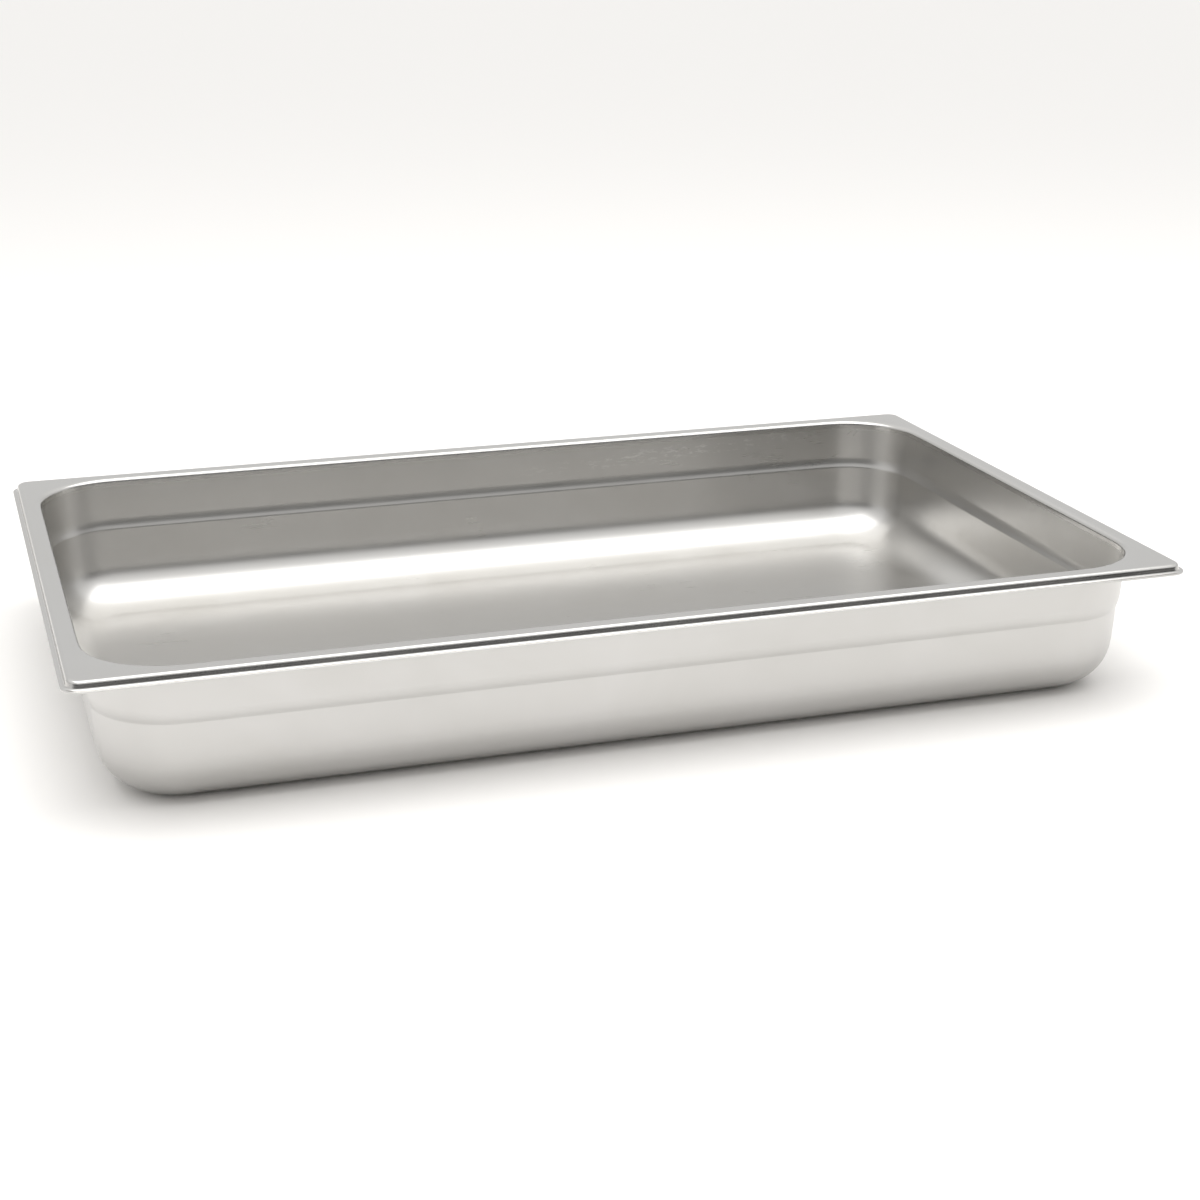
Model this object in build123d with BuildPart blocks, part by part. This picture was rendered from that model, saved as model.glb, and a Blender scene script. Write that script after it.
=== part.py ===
from build123d import *
import os
from math import atan, degrees

# Full-size gastronorm food pan, 65 mm deep, deep-drawn and trimmed from one sheet of stainless steel.
# Millimetres. The pan stands on z = 0 with its long side along X, and the origin is the centre of its base.
# Radii and widths across the section are those of the upper skin, the one that food and lid touch.

length = 530.0              # over the trimmed lip, the gastronorm 1/1 footprint
width = 325.0
sheet = 0.8                 # gauge of the steel
hanging_depth = 65.0        # base up to the underside of the lip, on which the pan hangs in a counter
rim_rise = 4.5              # underside of the lip up to the top of the flange

lip = 2.0                   # trimmed edge to the foot of the rim's step
lip_corner = 9.0
step_draft = 14.0           # degrees off upright
step_root = 1.2             # lip turning up into the step
step_crown = 1.7            # step turning over into the flange
rim = 11.9                  # edge of the lip to the wall of the well, at the height of the flange
mouth_bend = 2.4            # flange turning down into the well

mouth_corner = 39.5
upper_draft = 3.0
shoulder_drop = 24.0        # flange down to the stacking shoulder
shoulder_height = 4.0
shoulder_step = 1.4         # how far the shoulder sets the wall in
shoulder_head_bend = 18.0   # the wall leans gently into the shoulder
shoulder_foot_bend = 4.0    # and leaves it sharply
lower_draft = 2.8
floor_bend = 23.6

height = hanging_depth + rim_rise
lip_top = hanging_depth + sheet
shoulder_lean = degrees(atan(shoulder_step / shoulder_height))
lower_height = height - shoulder_drop - shoulder_height - sheet

os.makedirs("parts", exist_ok=True)

# Space inside the pan, drawn downwards from the flange: upper wall, stacking shoulder, lower wall.
with BuildPart() as well:
    with BuildSketch(Plane.XY.offset(height)):
        RectangleRounded(length - 2 * rim, width - 2 * rim, mouth_corner)
    extrude(amount=-shoulder_drop, taper=upper_draft)
    extrude(well.faces().sort_by(Axis.Z)[0], amount=shoulder_height, taper=shoulder_lean)
    extrude(well.faces().sort_by(Axis.Z)[0], amount=lower_height, taper=lower_draft)
    # Level rings of edges alternate with the sloping seams between the straight walls and the corners.
    floor_ring, _, shoulder_foot, _, shoulder_head, _, _ = well.edges().group_by(Axis.Z)
    fillet(floor_ring, floor_bend)
    fillet(shoulder_foot, shoulder_foot_bend)
    fillet(shoulder_head, shoulder_head_bend)

# The block is all that lies under the upper skin. Hollowed from below, it leaves the sheet.
with BuildPart() as pan_body:
    with BuildSketch():
        RectangleRounded(length, width, lip_corner)
    extrude(amount=lip_top)
    with BuildSketch(Plane.XY.offset(lip_top)):
        RectangleRounded(length - 2 * lip, width - 2 * lip, lip_corner - lip)
    extrude(amount=height - lip_top, taper=step_draft)
    fillet(pan_body.edges().group_by(Axis.Z)[-1], step_crown)
    lip_face = pan_body.faces().filter_by(Axis.Z).sort_by(Axis.Z)[-2]
    fillet(lip_face.inner_wires()[0].edges(), step_root)
    add(well.part, mode=Mode.SUBTRACT)
    flange_face = pan_body.faces().sort_by(Axis.Z)[-1]
    fillet(flange_face.inner_wires()[0].edges(), mouth_bend)
    open_faces = pan_body.faces().filter_by(lambda face: face.bounding_box().min.Z < sheet / 2)
    offset(amount=-sheet, openings=open_faces)

pan_body.part.label = "pan_body"
export_step(pan_body.part, "parts/pan_body.step")
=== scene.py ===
import math
import bpy
from mathutils import Matrix, Vector


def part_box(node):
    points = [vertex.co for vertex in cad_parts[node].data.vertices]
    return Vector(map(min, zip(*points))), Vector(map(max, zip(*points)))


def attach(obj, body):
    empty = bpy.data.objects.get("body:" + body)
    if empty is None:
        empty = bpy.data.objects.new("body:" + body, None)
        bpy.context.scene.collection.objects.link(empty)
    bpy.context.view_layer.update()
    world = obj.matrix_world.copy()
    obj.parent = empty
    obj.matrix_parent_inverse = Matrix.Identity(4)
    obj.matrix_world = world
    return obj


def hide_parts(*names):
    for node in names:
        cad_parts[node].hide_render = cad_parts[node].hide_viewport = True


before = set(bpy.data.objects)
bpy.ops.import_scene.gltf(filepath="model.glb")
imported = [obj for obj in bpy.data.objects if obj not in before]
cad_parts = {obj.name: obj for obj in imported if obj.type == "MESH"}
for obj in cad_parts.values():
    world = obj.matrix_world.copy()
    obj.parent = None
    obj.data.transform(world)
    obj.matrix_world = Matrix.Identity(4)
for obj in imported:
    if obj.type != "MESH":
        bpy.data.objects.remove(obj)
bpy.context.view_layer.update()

# Camera. A short telephoto about a metre away, a little past the pan's left end and above its rim, so
# that the front wall, the rim and the far half of the well all show.
camera_place = Vector((-0.307, -0.991, 0.380))
look_azimuth = math.radians(-18.22)
look_down = math.radians(18.82)
camera_roll = math.radians(0.2)

backwards = Vector((math.sin(look_azimuth) * math.cos(look_down),
                    -math.cos(look_azimuth) * math.cos(look_down),
                    math.sin(look_down)))
level_right = Vector((math.cos(look_azimuth), math.sin(look_azimuth), 0))
level_up = backwards.cross(level_right)
right = level_right * math.cos(camera_roll) + level_up * math.sin(camera_roll)
up = backwards.cross(right)
camera = bpy.data.objects.new("camera", bpy.data.cameras.new("camera"))
camera.matrix_world = Matrix.Translation(camera_place) @ Matrix((right, up, backwards)).transposed().to_4x4()
camera.data.sensor_width = 36
camera.data.lens = 63.33
camera.data.clip_start = 0.01
bpy.context.collection.objects.link(camera)
bpy.context.scene.camera = camera

# The pan. One sheet of 0.8 mm stainless steel, drawn in a press into a well with a stacking shoulder, then
# pressed into a raised flange round the mouth and trimmed to a flat lip. Made as a coarse cage of rings,
# whose bends a Bevel rounds and whose gauge a Solidify adds below the upper skin.
mm = 0.001
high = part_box("pan_body")[1]
half_length, half_width, flange_height = high.x, high.y, high.z
gauge = 0.8 * mm
rim_rise = 4.5 * mm
lip_height = flange_height - rim_rise + gauge
lip, lip_corner = 2.0 * mm, 9.0 * mm
step_draft = math.radians(14)
step_root, step_crown = 1.2 * mm, 1.7 * mm
flange = 11.9 * mm
mouth_corner, mouth_bend = 39.5 * mm, 2.4 * mm
shoulder_drop, shoulder_height, shoulder_step = 24.0 * mm, 4.0 * mm, 1.4 * mm
shoulder_head_bend, shoulder_foot_bend = 18.0 * mm, 4.0 * mm
upper_draft, lower_draft = math.radians(3.0), math.radians(2.8)
floor_bend = 23.6 * mm
floor_bend_run = 1.04        # of the bend's radius, from the corner of the walls to the flat of the floor

shoulder_top = flange_height - shoulder_drop
shoulder_foot = shoulder_top - shoulder_height
upper_inset = flange + shoulder_drop * math.tan(upper_draft)
lower_inset = upper_inset + shoulder_step
floor_inset = lower_inset + (shoulder_foot - gauge) * math.tan(lower_draft)
floor_flat_inset = floor_inset + floor_bend_run * floor_bend
crown = lip + (flange_height - lip_height) * math.tan(step_draft)
flat_start = crown + 1.6 * mm
flat_end = flange - 3.0 * mm


def wall_corner(inset):
    """Every ring of the well has its corners turned about the same four upright axes."""
    return mouth_corner + flange - inset


# From the lip's trimmed edge inwards: inset from that edge, height, corner radius, radius of the bend there.
section = [
    (0.0, lip_height, lip_corner, 0.0),
    (lip, lip_height, lip_corner - lip, step_root),
    (crown, flange_height, lip_corner - crown, step_crown),
    (flat_start, flange_height, lip_corner - flat_start, 0.0),
    (flat_end, flange_height, wall_corner(flat_end), 0.0),
    (flange, flange_height, mouth_corner, mouth_bend),
    (upper_inset, shoulder_top, wall_corner(upper_inset), shoulder_head_bend),
    (lower_inset, shoulder_foot, wall_corner(lower_inset), shoulder_foot_bend),
    (floor_inset, gauge, wall_corner(floor_inset), floor_bend),
    (floor_flat_inset, gauge, wall_corner(floor_flat_inset), 0.0),
]
long_steps, short_steps, corner_steps = 16, 8, 8
floor_bend_station = 8


def rounded_ring(half_x, half_y, radius):
    """Points round a rectangle with rounded corners, anticlockwise from the start of the corner at +X, +Y."""
    points = []
    for quarter in range(4):
        centre_x = (half_x - radius) * (1 if quarter in (0, 3) else -1)
        centre_y = (half_y - radius) * (1 if quarter in (0, 1) else -1)
        for step in range(corner_steps):
            angle = math.radians(90) * (quarter + step / corner_steps)
            points.append((centre_x + radius * math.cos(angle), centre_y + radius * math.sin(angle)))
        steps = long_steps if quarter in (0, 2) else short_steps
        run = (half_x - radius if quarter in (0, 2) else half_y - radius) * 2 / steps
        along = math.radians(90) * (quarter + 2)
        turned = math.radians(90) * (quarter + 1)
        start_x = centre_x + radius * math.cos(turned)
        start_y = centre_y + radius * math.sin(turned)
        for step in range(steps):
            points.append((start_x + run * step * math.cos(along), start_y + run * step * math.sin(along)))
    return points


def turn_at(index):
    """Angle by which the section turns at one of its stations."""
    before, here, after = (Vector(section[i][:2]) for i in (index - 1, index, index + 1))
    return (here - before).angle(after - here)


# Where each ring lay in the flat blank: its distance from the floor's corner, measured along the sheet.
blank_growth = [0.0]
for outer, inner in zip(section[-3::-1], section[-2:0:-1]):
    blank_growth.append(blank_growth[-1] + math.dist(outer[:2], inner[:2]))
blank_growth = blank_growth[::-1] + [None]

vertices, blank_places = [], []
for (inset, height, radius, _), growth in zip(section, blank_growth):
    vertices += [(x, y, height) for x, y in rounded_ring(half_length - inset, half_width - inset, radius)]
    if growth is None:
        blank_places += rounded_ring(half_length - inset, half_width - inset, radius)
    else:
        blank_places += rounded_ring(half_length - floor_inset + growth, half_width - floor_inset + growth,
                                     wall_corner(floor_inset) + growth)
around = 2 * (long_steps + short_steps) + 4 * corner_steps
faces = []
for ring in range(len(section) - 1):
    for step in range(around):
        beside = (step + 1) % around
        faces.append((ring * around + step, ring * around + beside,
                      (ring + 1) * around + beside, (ring + 1) * around + step))

# The flat of the floor is a grid inside the last ring, its corners joined to the middles of that ring's
# corners.
grid_x, grid_y = long_steps + corner_steps, short_steps + corner_steps
grid_margin = 12 * mm
grid_half_x = half_length - floor_flat_inset - grid_margin
grid_half_y = half_width - floor_flat_inset - grid_margin
grid_start = len(vertices)
for row in range(grid_y + 1):
    for column in range(grid_x + 1):
        x = grid_half_x * (2 * column / grid_x - 1)
        y = grid_half_y * (2 * row / grid_y - 1)
        vertices.append((x, y, gauge))
        blank_places.append((x, y))


def grid_index(column, row):
    return grid_start + row * (grid_x + 1) + column


for row in range(grid_y):
    for column in range(grid_x):
        faces.append((grid_index(column, row), grid_index(column + 1, row),
                      grid_index(column + 1, row + 1), grid_index(column, row + 1)))
grid_edge = ([grid_index(grid_x - i, grid_y) for i in range(grid_x)]
             + [grid_index(0, grid_y - i) for i in range(grid_y)]
             + [grid_index(i, 0) for i in range(grid_x)]
             + [grid_index(grid_x, i) for i in range(grid_y)])
last_ring = (len(section) - 1) * around
for step in range(around):
    beside = (step + 1) % around
    ring_here = last_ring + (step + corner_steps // 2) % around
    ring_next = last_ring + (beside + corner_steps // 2) % around
    faces.append((ring_here, ring_next, grid_edge[beside], grid_edge[step]))

pan_mesh = bpy.data.meshes.new("pan")
pan_mesh.from_pydata(vertices, [], faces)
pan_mesh.validate()
blank = pan_mesh.uv_layers.new(name="blank")
for corner in pan_mesh.loops:
    blank.uv[corner.index].vector = blank_places[corner.vertex_index]
widest = floor_bend * math.tan(turn_at(floor_bend_station) / 2)
weights = pan_mesh.attributes.new("bevel_weight_edge", "FLOAT", "EDGE")
for edge in pan_mesh.edges:
    rings = {v // around for v in edge.vertices}
    if len(rings) == 1 and max(edge.vertices) < grid_start:
        station = rings.pop()
        if section[station][3]:
            weights.data[edge.index].value = section[station][3] * math.tan(turn_at(station) / 2) / widest
pan_mesh.shade_smooth()
pan = bpy.data.objects.new("pan", pan_mesh)
bpy.context.collection.objects.link(pan)

bends = pan.modifiers.new("bends", "BEVEL")
bends.limit_method = "WEIGHT"
bends.width = widest
bends.segments = 6
bends.use_clamp_overlap = False
smooth = pan.modifiers.new("smooth", "SUBSURF")
smooth.levels = smooth.render_levels = 1
thickness = pan.modifiers.new("gauge", "SOLIDIFY")
thickness.thickness = gauge
thickness.offset = -1
thickness.use_even_offset = True
deburred = pan.modifiers.new("deburred_edge", "BEVEL")
deburred.limit_method = "ANGLE"
deburred.angle_limit = math.radians(60)
deburred.width = 0.2 * mm
deburred.segments = 2
even_shading = pan.modifiers.new("even_shading", "WEIGHTED_NORMAL")
even_shading.keep_sharp = True


def linear(code):
    """Linear colour of an sRGB hex value."""
    parts = [int(code[i:i + 2], 16) / 255 for i in (1, 3, 5)]
    return tuple(p / 12.92 if p <= 0.04045 else ((p + 0.055) / 1.055) ** 2.4 for p in parts) + (1.0,)


def add_node(tree, kind, settings=None, inputs=None):
    """A node with its settings made, and its inputs filled with values or linked to other nodes' outputs."""
    made = tree.nodes.new(kind)
    for name, value in (settings or {}).items():
        setattr(made, name, value)
    for name, value in (inputs or {}).items():
        if isinstance(value, bpy.types.NodeSocket):
            tree.links.new(value, made.inputs[name])
        else:
            made.inputs[name].default_value = value
    return made


def drawn_steel(name, colour, roughness, nesting_rub, bench_scuffs):
    """Drawn 18/10 stainless steel. The cold-rolled sheet keeps a fine grain along its length, stretched
    where it was drawn, and the tool leaves faint lines level with the rim. The eye gets a grey satin that
    blurs what it mirrors, a little cloudy from wiping, and brighter on the rim, which was pressed twice."""
    material = bpy.data.materials.new(name)
    material.use_nodes = True
    tree = material.node_tree
    tree.nodes.clear()
    sheet = add_node(tree, "ShaderNodeUVMap", {"uv_map": "blank"})
    place = add_node(tree, "ShaderNodeTexCoord").outputs["Object"]
    height = add_node(tree, "ShaderNodeSeparateXYZ", {}, {"Vector": place}).outputs["Z"]

    # Rolling grain, really some 0.05 mm wide and drawn 0.9 mm wide so that it shows, in runs of 35 mm.
    along_grain = add_node(tree, "ShaderNodeMapping", {}, {
        "Vector": sheet.outputs["UV"], "Scale": (1 / 0.035, 1 / 0.0009, 1)})
    grain = add_node(tree, "ShaderNodeTexNoise", {}, {
        "Vector": along_grain.outputs["Vector"], "Scale": 1.0, "Detail": 3.0, "Roughness": 0.6})
    # Tool lines level with the rim, 1.5 mm apart, on the walls above the bottom bends.
    level = add_node(tree, "ShaderNodeMapping", {}, {
        "Vector": place, "Scale": (1 / 0.09, 1 / 0.09, 1 / 0.0015)})
    every_level = add_node(tree, "ShaderNodeTexNoise", {}, {
        "Vector": level.outputs["Vector"], "Scale": 1.0, "Detail": 2.0})
    on_walls = add_node(tree, "ShaderNodeMapRange", {"interpolation_type": "SMOOTHSTEP"}, {
        "Value": height, "From Min": floor_bend, "From Max": floor_bend + 4 * mm})
    tool_lines = add_node(tree, "ShaderNodeMath", {"operation": "MULTIPLY"})
    tree.links.new(every_level.outputs["Fac"], tool_lines.inputs[0])
    tree.links.new(on_walls.outputs["Result"], tool_lines.inputs[1])
    # Cloudy haze in patches 70 mm across, and wiping streaks 12 mm wide in it.
    haze = add_node(tree, "ShaderNodeTexNoise", {}, {
        "Vector": place, "Scale": 1 / 0.07, "Detail": 3.0, "Distortion": 0.8})
    wiping = add_node(tree, "ShaderNodeMapping", {}, {
        "Vector": place, "Rotation": (0.3, 0.2, 0.6), "Scale": (1 / 0.06, 1 / 0.012, 1 / 0.03)})
    streaks = add_node(tree, "ShaderNodeTexNoise", {}, {
        "Vector": wiping.outputs["Vector"], "Scale": 1.0, "Detail": 2.0, "Distortion": 1.2})
    # Drawn sheet springs back into shallow waves, 0.1 mm high and 80 mm long.
    waves = add_node(tree, "ShaderNodeTexNoise", {}, {"Vector": place, "Scale": 1 / 0.08, "Detail": 1.0})

    # Rub marks 3 mm long, where the rim of a nested pan is lifted out along the inside of the back wall, just
    # under the flange.
    marks = add_node(tree, "ShaderNodeMapping", {}, {
        "Vector": place, "Scale": (1 / 0.006, 1 / 0.02, 1 / 0.0018)})
    flecks = add_node(tree, "ShaderNodeTexNoise", {}, {
        "Vector": marks.outputs["Vector"], "Scale": 1.0, "Detail": 4.0, "Roughness": 0.65})
    fleck_edge = add_node(tree, "ShaderNodeMapRange", {"interpolation_type": "SMOOTHSTEP"}, {
        "Value": flecks.outputs["Fac"], "From Min": 0.52, "From Max": 0.66, "To Max": nesting_rub})
    rub_place = add_node(tree, "ShaderNodeMapping", {"vector_type": "TEXTURE"}, {
        "Vector": place, "Location": (0.115, 0.151, 0.0585), "Rotation": (0, math.radians(-3), 0),
        "Scale": (0.11, 0.03, 0.006)})
    rub_fade = add_node(tree, "ShaderNodeTexGradient", {"gradient_type": "SPHERICAL"}, {
        "Vector": rub_place.outputs["Vector"]})
    rubbed = add_node(tree, "ShaderNodeMath", {"operation": "MULTIPLY", "use_clamp": True})
    tree.links.new(fleck_edge.outputs["Result"], rubbed.inputs[0])
    tree.links.new(rub_fade.outputs["Fac"], rubbed.inputs[1])

    # Scratches from benches and racks, under the base and at the foot of the bends, crossing at three angles.
    near_bench = add_node(tree, "ShaderNodeMapRange", {"interpolation_type": "SMOOTHSTEP"}, {
        "Value": height, "From Min": 2.5 * mm, "From Max": 0.0, "To Max": bench_scuffs})
    scuffs = near_bench.outputs["Result"]
    scratches = None
    for turn in (0.35, 1.3, 2.5):
        slide = add_node(tree, "ShaderNodeMapping", {}, {
            "Vector": place, "Rotation": (0, 0, turn), "Scale": (1 / 0.05, 1 / 0.0007, 1)})
        scratch = add_node(tree, "ShaderNodeTexNoise", {}, {
            "Vector": slide.outputs["Vector"], "Scale": 1.0, "Detail": 1.0})
        sharp = add_node(tree, "ShaderNodeMapRange", {}, {
            "Value": scratch.outputs["Fac"], "From Min": 0.62, "From Max": 0.72})
        if scratches is None:
            scratches = sharp.outputs["Result"]
        else:
            both = add_node(tree, "ShaderNodeMath", {"operation": "MAXIMUM"})
            tree.links.new(scratches, both.inputs[0])
            tree.links.new(sharp.outputs["Result"], both.inputs[1])
            scratches = both.outputs["Value"]
    scored = add_node(tree, "ShaderNodeMath", {"operation": "MULTIPLY"})
    tree.links.new(scratches, scored.inputs[0])
    tree.links.new(scuffs, scored.inputs[1])

    # Roughness: the satin's own, varied by grain, haze and streaks, lower on the rim, higher in marks.
    rim_press = add_node(tree, "ShaderNodeMapRange", {"interpolation_type": "SMOOTHSTEP"}, {
        "Value": height, "From Min": 64.5 * mm, "From Max": 66.5 * mm})
    parts = ((grain.outputs["Fac"], 0.06, -0.03), (haze.outputs["Fac"], 0.10, -0.05),
             (streaks.outputs["Fac"], 0.06, -0.03), (rim_press.outputs["Result"], -0.09, 0.0),
             (rubbed.outputs["Value"], 0.25, 0.0), (scored.outputs["Value"], 0.2, 0.0), (scuffs, 0.06, 0.0))
    total = roughness
    for value, factor, start in parts:
        share = add_node(tree, "ShaderNodeMath", {"operation": "MULTIPLY_ADD"})
        tree.links.new(value, share.inputs[0])
        share.inputs[1].default_value = factor
        if isinstance(total, float):
            share.inputs[2].default_value = total + start
        else:
            shifted = add_node(tree, "ShaderNodeMath", {"operation": "ADD"})
            tree.links.new(total, shifted.inputs[0])
            shifted.inputs[1].default_value = start
            tree.links.new(shifted.outputs["Value"], share.inputs[2])
        total = share.outputs["Value"]

    # Colour: neutral steel, a shade darker and warmer where the haze lies, whiter in rub marks.
    tint = add_node(tree, "ShaderNodeMix", {"data_type": "RGBA"})
    tint.inputs["A"].default_value = linear(colour[0])
    tint.inputs["B"].default_value = linear(colour[1])
    tree.links.new(haze.outputs["Fac"], tint.inputs["Factor"])
    marked = add_node(tree, "ShaderNodeMath", {"operation": "MAXIMUM"})
    tree.links.new(rubbed.outputs["Value"], marked.inputs[0])
    tree.links.new(scored.outputs["Value"], marked.inputs[1])
    bare = add_node(tree, "ShaderNodeMix", {"data_type": "RGBA"})
    tree.links.new(marked.outputs["Value"], bare.inputs["Factor"])
    tree.links.new(tint.outputs["Result"], bare.inputs["A"])
    bare.inputs["B"].default_value = linear("#E4E3E0")

    # Relief, in metres: waves, then grain and tool lines a few microns deep.
    normal = None
    for value, depth in ((waves.outputs["Fac"], 0.12 * mm), (tool_lines.outputs["Value"], 0.004 * mm),
                         (grain.outputs["Fac"], 0.003 * mm), (scored.outputs["Value"], -0.004 * mm)):
        relief = add_node(tree, "ShaderNodeBump", {}, {"Height": value, "Distance": depth})
        if normal:
            tree.links.new(normal, relief.inputs["Normal"])
        normal = relief.outputs["Normal"]
    shader = add_node(tree, "ShaderNodeBsdfPrincipled", {}, {
        "Base Color": bare.outputs["Result"], "Metallic": 1.0, "Roughness": total, "Normal": normal})
    add_node(tree, "ShaderNodeOutputMaterial", {}, {"Surface": shader.outputs["BSDF"]})
    return material


pan_mesh.materials.append(drawn_steel(
    "stainless_steel_satin", ("#CAC9C7", "#C2C0BC"), 0.30, nesting_rub=1.0, bench_scuffs=0.0))
pan_mesh.materials.append(drawn_steel(
    "stainless_steel_satin_outside", ("#C7C6C5", "#BFBEBB"), 0.31, nesting_rub=0.0, bench_scuffs=1.0))
thickness.material_offset = 1

# The trimmed edge of the lip, sheared and then deburred on a belt, is a narrow band of raw steel, duller and
# more scored than the skins.
edge_steel = bpy.data.materials.new("stainless_steel_trimmed_edge")
edge_steel.use_nodes = True
tree = edge_steel.node_tree
tree.nodes.clear()
place = add_node(tree, "ShaderNodeTexCoord").outputs["Object"]
# Belt marks along the edge, 0.2 mm apart and 12 mm long.
belt = add_node(tree, "ShaderNodeMapping", {}, {"Vector": place, "Scale": (1 / 0.012, 1 / 0.012, 1 / 0.0002)})
belt_marks = add_node(tree, "ShaderNodeTexNoise", {}, {
    "Vector": belt.outputs["Vector"], "Scale": 1.0, "Detail": 2.0})
dullness = add_node(tree, "ShaderNodeMapRange", {}, {
    "Value": belt_marks.outputs["Fac"], "From Min": 0.3, "From Max": 0.7, "To Min": 0.3, "To Max": 0.46})
scored_edge = add_node(tree, "ShaderNodeBump", {}, {
    "Height": belt_marks.outputs["Fac"], "Distance": 0.004 * mm})
shader = add_node(tree, "ShaderNodeBsdfPrincipled", {}, {
    "Base Color": linear("#CBCAC8"), "Metallic": 1.0, "Roughness": dullness.outputs["Result"],
    "Normal": scored_edge.outputs["Normal"]})
add_node(tree, "ShaderNodeOutputMaterial", {}, {"Surface": shader.outputs["BSDF"]})
pan_mesh.materials.append(edge_steel)
thickness.material_offset_rim = 2

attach(pan, "root")
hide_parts("pan_body")

# Floor. A wide sheet of white laminate that the pan stands on.
floor_mesh = bpy.data.meshes.new("floor")
reach = 12.0
hairline = -0.2 * mm        # under the base, which is at zero
floor_mesh.from_pydata([(-reach, -reach, hairline), (reach, -reach, hairline), (reach, reach, hairline),
                        (-reach, reach, hairline)], [], [(0, 1, 2, 3)])
floor = bpy.data.objects.new("floor", floor_mesh)
bpy.context.collection.objects.link(floor)
laminate = bpy.data.materials.new("white_laminate")
laminate.use_nodes = True
laminate.node_tree.nodes.clear()
shader = add_node(laminate.node_tree, "ShaderNodeBsdfPrincipled", {}, {
    "Base Color": linear("#F8F6F3"), "Roughness": 0.6})
add_node(laminate.node_tree, "ShaderNodeOutputMaterial", {}, {"Surface": shader.outputs["BSDF"]})
floor_mesh.materials.append(laminate)

# Light. A soft box hangs over the front of the pan, inside a white tent that is open towards a dark room in
# front, from just above the floor up to the roof.
soft_box = bpy.data.objects.new("soft_box", bpy.data.lights.new("soft_box", "AREA"))
soft_box.data.shape = "RECTANGLE"
box_length, box_depth, box_glow = 1.8, 1.2, 1.9
soft_box.data.size, soft_box.data.size_y = box_length, box_depth
soft_box.data.energy = box_glow * math.pi * box_length * box_depth
soft_box.location = (0, -0.2, 1.2)
bpy.context.collection.objects.link(soft_box)
world = bpy.data.worlds.new("light_tent")
bpy.context.scene.world = world
world.use_nodes = True
tent = world.node_tree
tent.nodes.clear()
direction = add_node(tent, "ShaderNodeTexCoord")
along = add_node(tent, "ShaderNodeSeparateXYZ", {}, {"Vector": direction.outputs["Generated"]})
roof = add_node(tent, "ShaderNodeMapRange", {"interpolation_type": "SMOOTHSTEP"}, {
    "Value": along.outputs["Z"], "From Min": 0.3, "From Max": 0.6, "To Min": 0.82, "To Max": 1.05})
front = add_node(tent, "ShaderNodeMapRange", {"interpolation_type": "SMOOTHSTEP"}, {
    "Value": along.outputs["Y"], "From Min": -0.2, "From Max": -0.6})
below_roof = add_node(tent, "ShaderNodeMapRange", {"interpolation_type": "SMOOTHSTEP"}, {
    "Value": along.outputs["Z"], "From Min": 0.4, "From Max": 0.25})
above_floor = add_node(tent, "ShaderNodeMapRange", {"interpolation_type": "SMOOTHSTEP"}, {
    "Value": along.outputs["Z"], "From Min": 0.02, "From Max": 0.07})
opening = front.outputs["Result"]
for edge in (below_roof, above_floor):
    product = add_node(tent, "ShaderNodeMath", {"operation": "MULTIPLY"})
    tent.links.new(opening, product.inputs[0])
    tent.links.new(edge.outputs["Result"], product.inputs[1])
    opening = product.outputs["Value"]
left_open = add_node(tent, "ShaderNodeMapRange", {}, {"Value": opening, "To Min": 1.0, "To Max": 0.05})
strength = add_node(tent, "ShaderNodeMath", {"operation": "MULTIPLY"})
tent.links.new(roof.outputs["Result"], strength.inputs[0])
tent.links.new(left_open.outputs["Result"], strength.inputs[1])
glow = add_node(tent, "ShaderNodeBackground", {}, {
    "Color": (1, 1, 1, 1), "Strength": strength.outputs["Value"]})
add_node(tent, "ShaderNodeOutputWorld", {}, {"Surface": glow.outputs["Background"]})
bpy.context.scene.view_settings.view_transform = "Standard"
